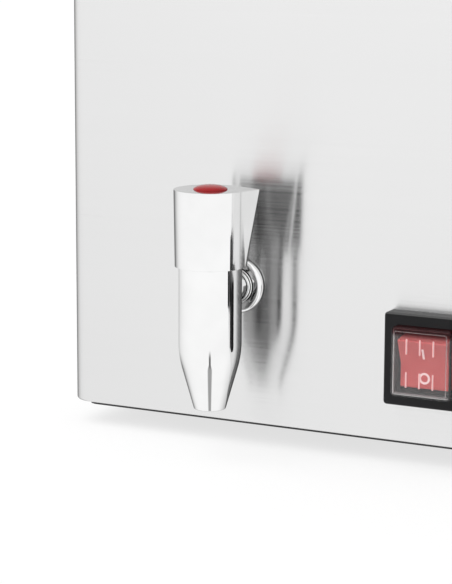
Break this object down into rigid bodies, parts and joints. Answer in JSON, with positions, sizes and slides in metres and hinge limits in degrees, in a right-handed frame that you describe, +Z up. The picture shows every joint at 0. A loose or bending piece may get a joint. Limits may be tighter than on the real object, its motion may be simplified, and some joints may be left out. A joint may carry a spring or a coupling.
{
  "type": "electric bain-marie",
  "caption": "Counter-top electric bain-marie: satin steel casing with a drawn water tank, a quarter-turn drain tap, a covered rocker switch and a thermostat dial.",
  "frame": {"origin": "on the table, under the middle of the machine's box with its tap and cable gland", "axes": "+X right seen from the front, +Y from the front panel towards the rear, +Z up"},
  "size_m": [0.34, 0.5936, 0.25],
  "materials": {
    "satin_steel": "satin brushed stainless",
    "tank_steel": "fine brushed stainless",
    "dark_paint": "dark grey satin paint",
    "zinc_sheet": "dull zinc-coated sheet",
    "fastener_steel": "bright plated fasteners",
    "chrome": "polished chrome plate",
    "brass": "turned brass",
    "black_rubber": "matt black rubber",
    "silicone_hose": "milky silicone",
    "red_cap": "gloss red",
    "black_plastic": "satin black",
    "red_rocker": "translucent red",
    "clear_boot": "clear soft vinyl",
    "amber_lens": "translucent amber",
    "dial_aluminium": "satin anodised",
    "element_sheath": "heat-tinted sheath",
    "copper": "drawn copper",
    "ceramic": "glazed steatite"
  },
  "bodies": {
    "body": {"casing_wrap": "satin_steel", "rear_panel": "satin_steel", "rear_panel_screws": "fastener_steel", "base_plate": "dark_paint", "base_screws": "fastener_steel", "foot_front_left": "black_rubber", "foot_front_right": "black_rubber", "foot_rear_left": "black_rubber", "foot_rear_right": "black_rubber", "foot_screws": "fastener_steel", "foot_nuts": "fastener_steel", "water_tank": "tank_steel", "weld_studs": "fastener_steel", "rim_brackets": "zinc_sheet", "rim_nuts": "fastener_steel", "drain_elbow": "tank_steel", "drain_hose": "silicone_hose", "hose_clips": "fastener_steel", "tap_body": "chrome", "tap_collar": "chrome", "tap_outer_washer": "black_rubber", "tap_inner_washer": "fastener_steel", "tap_lock_nut": "brass", "tap_bonnet_nut": "brass", "switch_frame": "black_plastic", "switch_boot": "clear_boot", "switch_housing": "black_plastic", "rocker_pivot_pin": "fastener_steel", "switch_terminals": "brass", "lamp_lens": "amber_lens", "lamp_housing": "black_plastic", "lamp_nut": "black_plastic", "thermostat_dial_plate": "dial_aluminium", "thermostat_body": "black_plastic", "thermostat_screws": "fastener_steel", "capillary_tube": "copper", "sensor_bulb": "copper", "bulb_clips": "zinc_sheet", "heating_element": "element_sheath", "element_terminals": "fastener_steel", "element_clamps": "zinc_sheet", "element_nuts": "fastener_steel", "heat_shield": "zinc_sheet", "thermal_cutout": "black_plastic", "terminal_block": "ceramic", "terminal_block_screws": "fastener_steel", "earth_stud": "fastener_steel", "gland_body": "black_plastic", "gland_nut": "black_plastic", "gland_cap": "black_plastic"},
    "tap_handle": {"tap_spindle": "brass", "tap_stem_seals": "black_rubber", "tap_knob": "chrome", "tap_knob_screw": "fastener_steel", "tap_cap": "red_cap"},
    "thermostat_dial": {"thermostat_knob": "black_plastic", "thermostat_shaft": "fastener_steel"},
    "rocker": {"rocker": "red_rocker"}
  },
  "joints": [
    {"name": "tap_turn", "type": "hinge", "parent": "body", "child": "tap_handle", "pos_m": [-0.0856, -0.28205, 0.0682], "axis": [0, 0, 1], "range_deg": [0, 90]},
    {"name": "thermostat_turn", "type": "hinge", "parent": "body", "child": "thermostat_dial", "pos_m": [0.098, -0.25595, 0.047], "axis": [0, 1, 0], "range_deg": [0, 300]},
    {"name": "rocker_tilt", "type": "hinge", "parent": "body", "child": "rocker", "pos_m": [0, -0.25479, 0.0454], "axis": [-1, 0, 0], "range_deg": [0, 22]}
  ]
}
